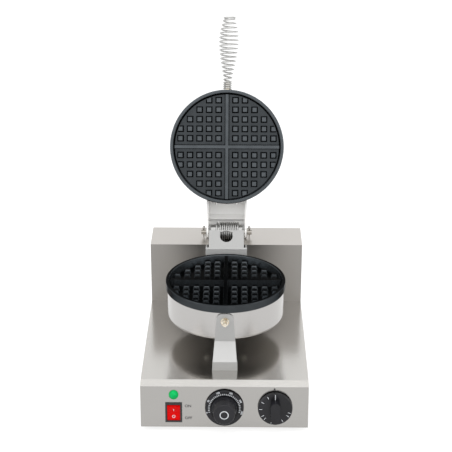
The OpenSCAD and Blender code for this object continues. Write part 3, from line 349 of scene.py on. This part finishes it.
def coated(name, centre, face, tones, roughness):
    """Dark coating on a casting that faces along face, with other tones on its parts.

    The tones are those of the floor, the tops, the walls that point up when the lid stands
    open, the other walls, the outer side and the outer edge, rubbed bare in chips. The floor
    is darker than the tops as painted shade in the recess, and the two wall tones are painted
    light and shade.
    """
    floor, top, worn_and_lit, other_walls, side, edge = (tuple(COAT_TINT * tone) for tone in tones)
    rim = centre.dot(face)
    coat = Look(name, floor, metallic=0.9, roughness=roughness)
    coat.set("Specular Tint", (0.25, 0.25, 0.25, 1))
    grain = coat.noise(420, 4.0)
    cast = coat.noise(60, 3.0)
    # Painted shade: the floor of the recess darker than the tops
    rise = coat.height(face, rim - RECESS_DEPTH * 0.9, rim - RECESS_DEPTH * 0.45)
    flat = coat.blend(rise, floor, top)
    outer = coat.away(centre, face, RIM_RADIUS - 2 * MM, RIM_RADIUS - 1 * MM)
    # Painted light and shade on the walls: those that face up take one tone and the others another,
    # apart from the outer side
    wall = coat.blend(outer, coat.shade(coat.facing((0, 0, 1)), other_walls, worn_and_lit, 0.05, 0.7), side)
    level = coat.ramp(coat.facing(face), 0, 1, 0.45, 0.85)
    base = coat.blend(level, wall, flat)
    near = coat.node("ShaderNodeMath", operation="MULTIPLY")
    coat.link(coat.away(centre, face, RIM_RADIUS - 0.9 * MM, RIM_RADIUS - 0.3 * MM), near.inputs[0])
    coat.link(coat.height(face, rim - 1.0 * MM, rim - 0.3 * MM), near.inputs[1])
    chips = coat.shade(coat.noise(90, 4.0), side, edge, 0.35, 0.6)
    base = coat.blend(near.outputs[0], base, chips)
    base = coat.times(base, coat.shade(cast, (0.82, 0.82, 0.82), (1, 1, 1)))
    coat.link(base, coat.bsdf.inputs["Base Color"])
    coat.rough(grain, roughness * 0.8, roughness * 1.2)
    coat.bump(grain, 0.05 * MM, 0.25)
    return coat


def make_coatings(looks):
    low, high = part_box("lower_plate")
    centre = Vector(((low.x + high.x) / 2, (low.y + high.y) / 2, high.z))
    up = Vector((0, 0, 1))
    # Lower plate: flats near black as a painted reflection of the dark lid over them, and inner
    # walls lighter than the outer side as painted glints
    tones = (0.009, 0.022, 0.15, 0.15, 0.050, 0.06)
    looks["coat"] = coated("coated_casting", centre, up, tones, 0.2)
    lid_centre = LID @ Vector((0, centre.y - HINGE.y, -LID_RIM_FROM_PIN))
    # Lid plate: floor darker than the tops, walls that face up light and the others near black, as
    # painted light and shade; its outer edge pale where rubbed bare
    lid_tones = (0.052, 0.090, 0.15, 0.010, 0.065, 0.26)
    looks["lid_coat"] = coated("coated_lid_casting", lid_centre, LID_FACE, lid_tones, 0.28)


def make_prints(looks):
    ink = Look("dark_print", (0.03, 0.03, 0.032), roughness=0.5)
    ink.tint(ink.noise(600, 2.0), (0.02, 0.02, 0.022), (0.05, 0.05, 0.052))
    looks["ink"] = ink

    paint = Look("white_print", (0.84, 0.87, 0.90), roughness=0.5)
    paint.tint(paint.noise(600, 2.0), (0.76, 0.80, 0.84), (0.90, 0.92, 0.95))
    looks["paint"] = paint


def make_mouldings(looks):
    knob = Look("knob_plastic", (0.012, 0.012, 0.015), roughness=0.3)
    fine = knob.noise(1400, 3.0)
    wear = knob.noise(40, 4.0)
    knob.tint(wear, (0.008, 0.008, 0.010), (0.016, 0.016, 0.020))
    knob.set("Specular IOR Level", 0.3)
    knob.rough(fine, 0.2, 0.3)
    knob.bump(fine, 0.02 * MM, 0.3)
    looks["knob"] = knob

    black = Look("black_plastic", (0.02, 0.02, 0.021), roughness=0.45)
    grain = black.noise(900, 3.0)
    black.rough(grain, 0.38, 0.52)
    black.bump(grain, 0.03 * MM, 0.4)
    looks["black"] = black

    red = Look("red_rocker", (0.62, 0.0, 0.0), roughness=0.3)
    flow = red.noise(120, 2.0)
    red.tint(flow, (0.58, 0.0, 0.0), (0.66, 0.0, 0.0))
    red.rough(flow, 0.26, 0.36)
    red.set("Specular IOR Level", 0.12)
    # Painted glow: a faint red glow of its own brightens the rocker
    red.set("Emission Color", (1.0, 0.0, 0.0, 1))
    red.set("Emission Strength", 0.2)
    looks["red"] = red

    green = Look("green_lens", (0.0, 0.44, 0.10), roughness=0.3)
    facet = green.noise(260, 1.0)
    green.tint(facet, (0.0, 0.36, 0.07), (0.0, 0.50, 0.13))
    green.bump(facet, 0.2 * MM, 0.4)
    green.set("Specular IOR Level", 0.15)
    green.set("Emission Color", (0.0, 0.6, 0.14, 1))
    green.set("Emission Strength", 0.12)
    looks["green"] = green

    rubber = Look("foot_rubber", (0.02, 0.02, 0.02), roughness=0.75)
    pores = rubber.noise(700, 3.0)
    rubber.rough(pores, 0.65, 0.85)
    rubber.bump(pores, 0.08 * MM, 0.5)
    looks["rubber"] = rubber

    wool = Look("ceramic_wool", (0.78, 0.76, 0.70), roughness=0.95)
    fibre = wool.noise(300, 6.0)
    wool.tint(fibre, (0.66, 0.64, 0.58), (0.84, 0.82, 0.77))
    wool.bump(fibre, 0.6 * MM, 0.8)
    looks["wool"] = wool

    cream = Look("cream_ceramic", (0.74, 0.72, 0.65), roughness=0.4)
    cream.rough(cream.noise(300, 3.0), 0.34, 0.5)
    looks["cream"] = cream


def make_materials():
    looks = {}
    make_metals(looks)
    make_coatings(looks)
    make_prints(looks)
    make_mouldings(looks)
    return {name: look.mat for name, look in looks.items()}


# Finish of each node; a node that isn't named here is stainless sheet
LOOK_OF = {
    "housing": ["rear_housing", "rear_cover"],
    "casing": ["lower_casing"],
    "lid_casing": ["lid_casing"],
    "leg": ["front_leg"],
    "bracket": ["hinge_bracket"],
    "arm": ["lid_arm"],
    "fastener": ["foot_screws", "cover_screws", "leg_screws", "bracket_bolts", "lid_arm_screws",
                 "lid_tie_screws", "thermostat_spindle", "timer_spindle"],
    "pin": ["hinge_pin", "split_pins", "hinge_washers", "lower_tie_screws"],
    "sleeve": ["hinge_sleeve"],
    "coat": ["lower_plate"],
    "lid_coat": ["lid_plate"],
    "knob": ["thermostat_knob", "timer_knob"],
    "black": ["cable_gland", "switch_body", "lamp_body"],
    "red": ["switch_rocker"],
    "green": ["lamp_lens"],
    "brass": ["leg_bolt", "leg_nut", "handle_stud"],
    "rubber": ["feet"],
    "tube": ["lower_element", "lid_element"],
    "copper": ["thermostat_bulb"],
    "wool": ["lower_insulation", "lid_insulation"],
    "cream": ["terminal_block", "thermostat_body", "timer_body"],
    "spring": ["hinge_spring"],
    "wire": ["handle_grip"],
}
# Edges that turn by more than this are rounded, by a width in millimetres
EDGE_ANGLE = math.radians(28)
EDGE_OF = {
    "base_shell": 0.9, "rear_housing": 0.9, "rear_cover": 0.3, "front_leg": 0.5,
    "hinge_bracket": 0.5, "lid_arm": 0.5, "thermostat_knob": 0.4, "timer_knob": 0.9,
    "switch_body": 0.6, "switch_rocker": 0.5, "lower_plate": 0.35, "lid_plate": 0.35,
    "lower_casing": 0.3, "lid_casing": 0.3,
}


def set_material(obj, mat):
    obj.data.materials.clear()
    obj.data.materials.append(mat)


def dress_nodes(mats):
    look_of = {n: look for look, names in LOOK_OF.items() for n in names}
    for name, obj in nodes.items():
        set_material(obj, mats[look_of.get(name, "stainless")])
        if name in EDGE_OF:
            bevel = obj.modifiers.new("edges", "BEVEL")
            bevel.width = EDGE_OF[name] * MM
            bevel.segments = 2
            bevel.limit_method = "ANGLE"
            bevel.angle_limit = EDGE_ANGLE
            bevel.harden_normals = True


# Pieces
def carry(obj, body):
    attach(obj, body)


def add_mesh(name, bm, mat, body, smooth=True):
    me = bpy.data.meshes.new(name)
    bm.to_mesh(me)
    bm.free()
    for p in me.polygons:
        p.use_smooth = smooth
    me.materials.append(mat)
    obj = add_object(name, me)
    carry(obj, body)
    return obj


def sweep(bm, points, radius, sides, sections):
    """Round tube along points, with a pair of section axes for each point."""
    rings = []
    for p, (u, v) in zip(points, sections):
        rings.append([bm.verts.new(p + radius * (u * math.cos(t) + v * math.sin(t)))
                      for t in (2 * math.pi * k / sides for k in range(sides))])
    for a, b in zip(rings, rings[1:]):
        for k in range(sides):
            m = (k + 1) % sides
            bm.faces.new((a[k], a[m], b[m], b[k]))
    for ring_verts, flip in ((rings[0], True), (rings[-1], False)):
        bm.faces.new(list(reversed(ring_verts)) if flip else ring_verts)


def path_sections(points):
    """Section axes that turn smoothly along a path."""
    sections = []
    side = None
    for i, p in enumerate(points):
        ahead = points[min(i + 1, len(points) - 1)]
        behind = points[max(i - 1, 0)]
        along = (ahead - behind).normalized()
        if side is None:
            side = along.orthogonal().normalized()
        side = (side - along * side.dot(along)).normalized()
        sections.append((side, along.cross(side)))
    return sections


# Wound wire
WIRE_SIDES = 12
WIRE_STEPS = 28


def wire_piece(name, points, radius, mat, body, replaced):
    bm = bmesh.new()
    sweep(bm, points, radius, WIRE_SIDES, path_sections(points))
    piece = add_mesh(name, bm, mat, body)
    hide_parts(replaced)


# Grip, wound about a stud on the lid's casing: close turns at its foot, open turns that swell and
# shrink again, and a close turn at its end
GRIP_FROM_PIN = 233.2 * MM
GRIP_OVER_PIN = 14.18 * MM
GRIP_LEAN = math.radians(1.5)
GRIP_WIRE = 2.5 * MM
GRIP_START = 3.75 * MM
GRIP_FOOT_TURNS = 4
GRIP_FOOT_PITCH = 3.1 * MM
GRIP_OPEN_TURNS = 15
GRIP_OPEN_LENGTH = 103.4 * MM
GRIP_END_TURNS = 1
GRIP_END_PITCH = 2.6 * MM
GRIP_FOOT_RADIUS = 7.3 * MM
GRIP_WIDE_RADIUS = 16.6 * MM
GRIP_END_RADIUS = 10.2 * MM
# Share of the open length at which the grip is widest, and how slowly it swells before
GRIP_WIDEST = 0.66
GRIP_SWELL = 1.35


def grip_radius(u):
    """Outer radius of the open turns, at the share u of their length."""
    if u < GRIP_WIDEST:
        swell = math.sin(math.pi / 2 * u / GRIP_WIDEST) ** GRIP_SWELL
        return GRIP_FOOT_RADIUS + (GRIP_WIDE_RADIUS - GRIP_FOOT_RADIUS) * swell
    fall = math.cos(math.pi / 2 * (u - GRIP_WIDEST) / (1 - GRIP_WIDEST))
    return GRIP_END_RADIUS + (GRIP_WIDE_RADIUS - GRIP_END_RADIUS) * fall


def grip_point(turns):
    """Middle of the wire after so many turns, in the grip's own frame."""
    foot = min(turns, GRIP_FOOT_TURNS)
    end = max(turns - GRIP_FOOT_TURNS - GRIP_OPEN_TURNS, 0)
    u = (turns - foot - end) / GRIP_OPEN_TURNS
    radius = grip_radius(u) - GRIP_WIRE / 2
    rise = foot * GRIP_FOOT_PITCH + GRIP_OPEN_LENGTH * u + end * GRIP_END_PITCH
    angle = 2 * math.pi * turns
    return Vector((radius * math.cos(angle), radius * math.sin(angle), GRIP_START + rise))


def make_grip(mats):
    place = (LID @ Matrix.Translation((0, -GRIP_FROM_PIN, GRIP_OVER_PIN))
             @ Matrix.Rotation(math.pi / 2, 4, "X") @ Matrix.Rotation(GRIP_LEAN, 4, "Y"))
    count = (GRIP_FOOT_TURNS + GRIP_OPEN_TURNS + GRIP_END_TURNS) * WIRE_STEPS
    points = [grip_point(i / WIRE_STEPS) for i in range(count + 1)]
    tail = Vector((0, GRIP_WIRE, 0))
    points = [points[0] - tail] + points + [points[-1] + tail]
    placed = [place @ p for p in points]
    wire_piece("grip_coil", placed, GRIP_WIRE / 2, mats["wire"], "lid", "handle_grip")


# Spring round the hinge pin, whose two legs reach down into the housing
SPRING_RADIUS = 15.6 * MM
SPRING_WIRE = 3 * MM
SPRING_TURNS = 10
SPRING_PITCH = 3.55 * MM
SPRING_LEAD = 6.5 * MM
SPRING_LEG = 20.4 * MM
SPRING_SHIFT = 1 * MM
LEG_STEPS = 4


def make_spring(mats):
    start = SPRING_SHIFT - (SPRING_LEAD + (SPRING_TURNS - 1.5) * SPRING_PITCH) / 2
    count = int((SPRING_TURNS - 0.5) * WIRE_STEPS)
    points = []
    for i in range(count + 1):
        turns = i / WIRE_STEPS
        angle = 2 * math.pi * turns
        x = start + min(turns, 1) * SPRING_LEAD + max(turns - 1, 0) * SPRING_PITCH
        y = -SPRING_RADIUS * math.cos(angle)
        z = SPRING_RADIUS * math.sin(angle)
        points.append(HINGE + Vector((x, y, z)))
    drops = [Vector((0, 0, SPRING_LEG * k / LEG_STEPS)) for k in range(LEG_STEPS, 0, -1)]
    front = [points[0] - drop for drop in drops]
    back = [points[-1] - drop for drop in reversed(drops)]
    course = front + points + back
    wire_piece("spring_coil", course, SPRING_WIRE / 2, mats["spring"], "base", "hinge_spring")


# Markings, thin raised prints that are drawn a little bolder than their outline
PRINT_LIFT = 0.06 * MM
PRINT_BOLD = 0.12 * MM
RING_STEPS = 36


def bar_marks(name, marks, mat, body, turn):
    """Thin raised bars, each given by centre x, y, width, height and angle."""
    bm = bmesh.new()
    for cx, cy, w, h, angle in marks:
        c = math.cos(angle)
        s = math.sin(angle)
        corners = [(-w / 2, -h / 2), (w / 2, -h / 2), (w / 2, h / 2), (-w / 2, h / 2)]
        low = [bm.verts.new((cx + x * c - y * s, cy + x * s + y * c, 0)) for x, y in corners]
        high = [bm.verts.new((v.co.x, v.co.y, PRINT_LIFT)) for v in low]
        bm.faces.new(high)
        bm.faces.new(list(reversed(low)))
        for k in range(4):
            m = (k + 1) % 4
            bm.faces.new((low[k], low[m], high[m], high[k]))
    bmesh.ops.transform(bm, matrix=turn, verts=bm.verts)
    add_mesh(name, bm, mat, body, smooth=False)


def word(name, text, size, mat, body, turn):
    """Raised print made from a text outline."""
    data = bpy.data.curves.new(name, "FONT")
    data.body = text
    data.size = size
    data.align_x = "CENTER"
    data.align_y = "CENTER"
    data.extrude = PRINT_LIFT / 2
    data.offset = PRINT_BOLD
    data.resolution_u = 3
    outline = add_object(name + "_outline", data)
    bpy.context.view_layer.update()
    depsgraph = bpy.context.evaluated_depsgraph_get()
    me = bpy.data.meshes.new_from_object(outline.evaluated_get(depsgraph))
    bpy.data.objects.remove(outline)
    me.transform(turn)
    me.name = name
    me.materials.clear()
    me.materials.append(mat)
    carry(add_object(name, me), body)


def spin(angle):
    return Matrix.Rotation(angle, 4, "Z")


# Surfaces that carry marks, by their height above the panel
DIAL_FACE = 5.02 * MM
DIAL_RADIUS = 28.9 * MM
CAP_FACE = 26.84 * MM
CAP_RING = 6.0 * MM
TIMER_FACE = 7.02 * MM
TIMER_RADIUS = 25.9 * MM
TIMER_BAR_TOP = 15.5 * MM
BEZEL_FACE = 2 * MM

# Scale of the thermostat: each number's place in degrees, and the ticks inside the numbers
DIAL_NUMBERS = {"250": -105, "200": -63, "150": -21, "100": 21, "50": 63, "0": 105}
NUMBER_SIZE = 3.7 * MM
NUMBER_INSET = 2.3 * MM
DIAL_TICKS = range(-105, 106, 7)
DIAL_TICK = (1.0 * MM, 2.4 * MM)
DIAL_TICK_INSET = 5.9 * MM
CAP_RING_WIDTH = 1.3 * MM

# Timer: its ticks in degrees, a line from bar to rim, and the index on the panel over it
TIMER_TICKS = (30, 60, 90, 120, 135, 165, 210, 240, 255)
TIMER_TICK = (0.8 * MM, 4.4 * MM)
TIMER_TICK_INSET = 4.4 * MM
TIMER_LINE = 0.9 * MM
TIMER_LINE_INSET = 2.0 * MM
TIMER_INDEX = (-1.2 * MM, 29.6 * MM, 2.4 * MM, 3.0 * MM, 0)

# Switch: words beside the bezel's middle, the slope of each half of the rocker, and its marks
SWITCH_WORDS = {"ON": (21.4 * MM, 10.2 * MM), "OFF": (22.0 * MM, -9.5 * MM)}
SWITCH_WORD_SIZE = 6.2 * MM
ROCKER_SLOPE = math.atan2(1.4, 12.1)
ON_SPOT = Vector((0, 5.6 * MM, 3.9 * MM))
ON_BAR = (0, 0, 0.8 * MM, 3.6 * MM, 0)
OFF_SPOT = Vector((0, -6.0 * MM, 3.95 * MM))
OFF_RING = 2.0 * MM
OFF_RING_WIDTH = 0.8 * MM


def ring_mark(name, radius, width, mat, body, turn):
    """Thin raised ring."""
    profile = ((-width / 2, 0), (width / 2, 0), (width / 2, PRINT_LIFT), (-width / 2, PRINT_LIFT))
    bm = bmesh.new()
    rings = []
    for i in range(RING_STEPS):
        angle = 2 * math.pi * i / RING_STEPS
        out = Vector((math.cos(angle), math.sin(angle), 0))
        rings.append([bm.verts.new(out * (radius + w) + Vector((0, 0, z))) for w, z in profile])
    for a, b in zip(rings, rings[1:] + rings[:1]):
        for k in range(4):
            m = (k + 1) % 4
            bm.faces.new((a[k], b[k], b[m], a[m]))
    bmesh.ops.transform(bm, matrix=turn, verts=bm.verts)
    bmesh.ops.recalc_face_normals(bm, faces=bm.faces)
    add_mesh(name, bm, mat, body, smooth=False)


def arc_ticks(angles, radius, width, length):
    """Ticks that point at the middle, by their degrees to the left of twelve o'clock."""
    turns = [math.radians(a) for a in angles]
    return [(-math.sin(a) * radius, math.cos(a) * radius, width, length, a) for a in turns]


def mark_dial(mats):
    """Numbers and fine ticks on the thermostat's scale disc, and a ring on its cap."""
    base = place_on(DIAL, PANEL_X, PANEL_UP, PANEL_OUT)
    disc = base @ Matrix.Translation((0, 0, DIAL_FACE))
    body = "thermostat_control"
    for number, angle in DIAL_NUMBERS.items():
        out = Matrix.Translation((0, DIAL_RADIUS - NUMBER_INSET, 0))
        spot = disc @ (spin(math.radians(angle)) @ out)
        word(f"dial_number_{number}", number, NUMBER_SIZE, mats["paint"], body, spot)
    ticks = arc_ticks(DIAL_TICKS, DIAL_RADIUS - DIAL_TICK_INSET, *DIAL_TICK)
    bar_marks("dial_ticks", ticks, mats["paint"], body, disc)
    cap = base @ Matrix.Translation((0, 0, CAP_FACE))
    ring_mark("cap_ring", CAP_RING, CAP_RING_WIDTH, mats["paint"], body, cap)


def mark_timer(mats):
    """Ticks round the timer's disc, and a longer line at twelve o'clock."""
    base = place_on(TIMER, PANEL_X, PANEL_UP, PANEL_OUT)
    disc = base @ Matrix.Translation((0, 0, TIMER_FACE))
    ticks = arc_ticks(TIMER_TICKS, TIMER_RADIUS - TIMER_TICK_INSET, *TIMER_TICK)
    line_end = TIMER_RADIUS - TIMER_LINE_INSET
    middle = (line_end + TIMER_BAR_TOP) / 2
    ticks += arc_ticks((0,), middle, TIMER_LINE, line_end - TIMER_BAR_TOP)
    bar_marks("timer_ticks", ticks, mats["paint"], "timer_control", disc)


def mark_panel(mats):
    """Index over the timer, and ON and OFF beside the switch."""
    base = place_on(TIMER, PANEL_X, PANEL_UP, PANEL_OUT)
    bar_marks("timer_index", [TIMER_INDEX], mats["ink"], "base", base)
    low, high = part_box("switch_body")
    bezel = Vector(((low.x + high.x) / 2, ROCKER.y, ROCKER.z)) + PANEL_OUT * BEZEL_FACE
    base = place_on(bezel, PANEL_X, PANEL_UP, PANEL_OUT)
    for text, (side, up) in SWITCH_WORDS.items():
        spot = base @ Matrix.Translation((side, up, 0))
        name = "print_" + text.lower()
        word(name, text, SWITCH_WORD_SIZE, mats["ink"], "base", spot)


def mark_rocker(mats):
    """I and O on the two faces of the rocker."""
    tilt = math.radians(max(joints["switch_rock"]["range_deg"]) / 2)
    base = place_on(ROCKER, PANEL_X, PANEL_UP, PANEL_OUT) @ Matrix.Rotation(tilt, 4, "X")
    upper = base @ Matrix.Translation(ON_SPOT) @ Matrix.Rotation(ROCKER_SLOPE, 4, "X")
    lower = base @ Matrix.Translation(OFF_SPOT) @ Matrix.Rotation(-ROCKER_SLOPE, 4, "X")
    paint = mats["paint"]
    bar_marks("rocker_on_mark", [ON_BAR], paint, "rocker", upper)
    ring_mark("rocker_off_mark", OFF_RING, OFF_RING_WIDTH, paint, "rocker", lower)


# Floor and light
FLOOR_HALF = 6.0
FLOOR_TONE = 0.42
FLOOR_GLOW = 0.75
SKY_STRENGTH = 0.95


def shown_rays(tree, path):
    """One for rays that show the background: seen by the camera, mirrored or through glass."""
    total = path.outputs["Is Camera Ray"]
    for kind in ("Is Glossy Ray", "Is Transmission Ray"):
        add = tree.nodes.new("ShaderNodeMath")
        add.operation = "ADD"
        add.use_clamp = True
        tree.links.new(total, add.inputs[0])
        tree.links.new(path.outputs[kind], add.inputs[1])
        total = add.outputs[0]
    return total


def make_floor():
    bm = bmesh.new()
    bmesh.ops.create_grid(bm, x_segments=1, y_segments=1, size=FLOOR_HALF)
    me = bpy.data.meshes.new("floor")
    bm.to_mesh(me)
    bm.free()
    floor = add_object("floor", me)
    mat = bpy.data.materials.new("floor_white")
    mat.use_nodes = True
    tree = mat.node_tree
    tree.nodes.clear()
    out = tree.nodes.new("ShaderNodeOutputMaterial")
    diffuse = tree.nodes.new("ShaderNodeBsdfDiffuse")
    glow = tree.nodes.new("ShaderNodeEmission")
    path = tree.nodes.new("ShaderNodeLightPath")
    seen = tree.nodes.new("ShaderNodeMath")
    add = tree.nodes.new("ShaderNodeAddShader")
    diffuse.inputs["Color"].default_value = (FLOOR_TONE, FLOOR_TONE, FLOOR_TONE, 1)
    glow.inputs["Color"].default_value = (1, 1, 1, 1)
    seen.operation = "MULTIPLY"
    seen.inputs[1].default_value = FLOOR_GLOW
    tree.links.new(shown_rays(tree, path), seen.inputs[0])
    tree.links.new(seen.outputs[0], glow.inputs["Strength"])
    tree.links.new(diffuse.outputs[0], add.inputs[0])
    tree.links.new(glow.outputs[0], add.inputs[1])
    tree.links.new(add.outputs[0], out.inputs["Surface"])
    me.materials.append(mat)


def make_world():
    world = bpy.data.worlds.new("studio")
    bpy.context.scene.world = world
    world.use_nodes = True
    tree = world.node_tree
    tree.nodes.clear()
    out = tree.nodes.new("ShaderNodeOutputWorld")
    coords = tree.nodes.new("ShaderNodeTexCoord")
    split = tree.nodes.new("ShaderNodeSeparateXYZ")
    ramp = tree.nodes.new("ShaderNodeValToRGB")
    sky = tree.nodes.new("ShaderNodeBackground")
    white = tree.nodes.new("ShaderNodeBackground")
    path = tree.nodes.new("ShaderNodeLightPath")
    mix = tree.nodes.new("ShaderNodeMixShader")
    rise = tree.nodes.new("ShaderNodeMapRange")
    rise.inputs["From Min"].default_value = -1
    rise.inputs["From Max"].default_value = 1
    stops = ramp.color_ramp.elements
    stops[0].position = 0.44
    stops[0].color = (0.34, 0.335, 0.33, 1)
    stops[1].position = 0.80
    stops[1].color = (1.0, 1.0, 1.0, 1)
    low = ramp.color_ramp.elements.new(0.58)
    low.color = (0.55, 0.545, 0.54, 1)
    tree.links.new(coords.outputs["Generated"], split.inputs[0])
    tree.links.new(split.outputs["Z"], rise.inputs["Value"])
    tree.links.new(rise.outputs["Result"], ramp.inputs["Fac"])
    tree.links.new(ramp.outputs["Color"], sky.inputs["Color"])
    sky.inputs["Strength"].default_value = SKY_STRENGTH
    white.inputs["Color"].default_value = (1, 1, 1, 1)
    white.inputs["Strength"].default_value = 1.0
    tree.links.new(shown_rays(tree, path), mix.inputs["Fac"])
    tree.links.new(sky.outputs[0], mix.inputs[1])
    tree.links.new(white.outputs[0], mix.inputs[2])
    tree.links.new(mix.outputs[0], out.inputs["Surface"])


def area_light(name, place, target, size, power):
    data = bpy.data.lights.new(name, "AREA")
    data.shape = "RECTANGLE"
    data.size = size[0]
    data.size_y = size[1]
    data.energy = power
    lamp = add_object(name, data)
    aim = (Vector(target) - Vector(place)).to_track_quat("-Z", "Y")
    lamp.matrix_world = Matrix.Translation(place) @ aim.to_matrix().to_4x4()


def make_lights():
    area_light("top_softbox", (0.0, -0.3, 2.2), (0, 0, 0.15), (2.4, 2.0), 15)
    area_light("front_softbox", (0.0, -2.6, 1.9), (0, 0, 0.3), (2.8, 1.8), 12)
    area_light("left_softbox", (-1.7, -1.1, 1.0), (0, 0, 0.2), (1.2, 1.4), 6)
    area_light("right_softbox", (1.8, -0.9, 0.9), (0, 0, 0.2), (1.0, 1.2), 4)


make_camera()
mats = make_materials()
dress_nodes(mats)
make_grip(mats)
make_spring(mats)
mark_dial(mats)
mark_timer(mats)
mark_panel(mats)
mark_rocker(mats)
make_floor()
make_world()
make_lights()
bpy.context.scene.view_settings.view_transform = "Standard"
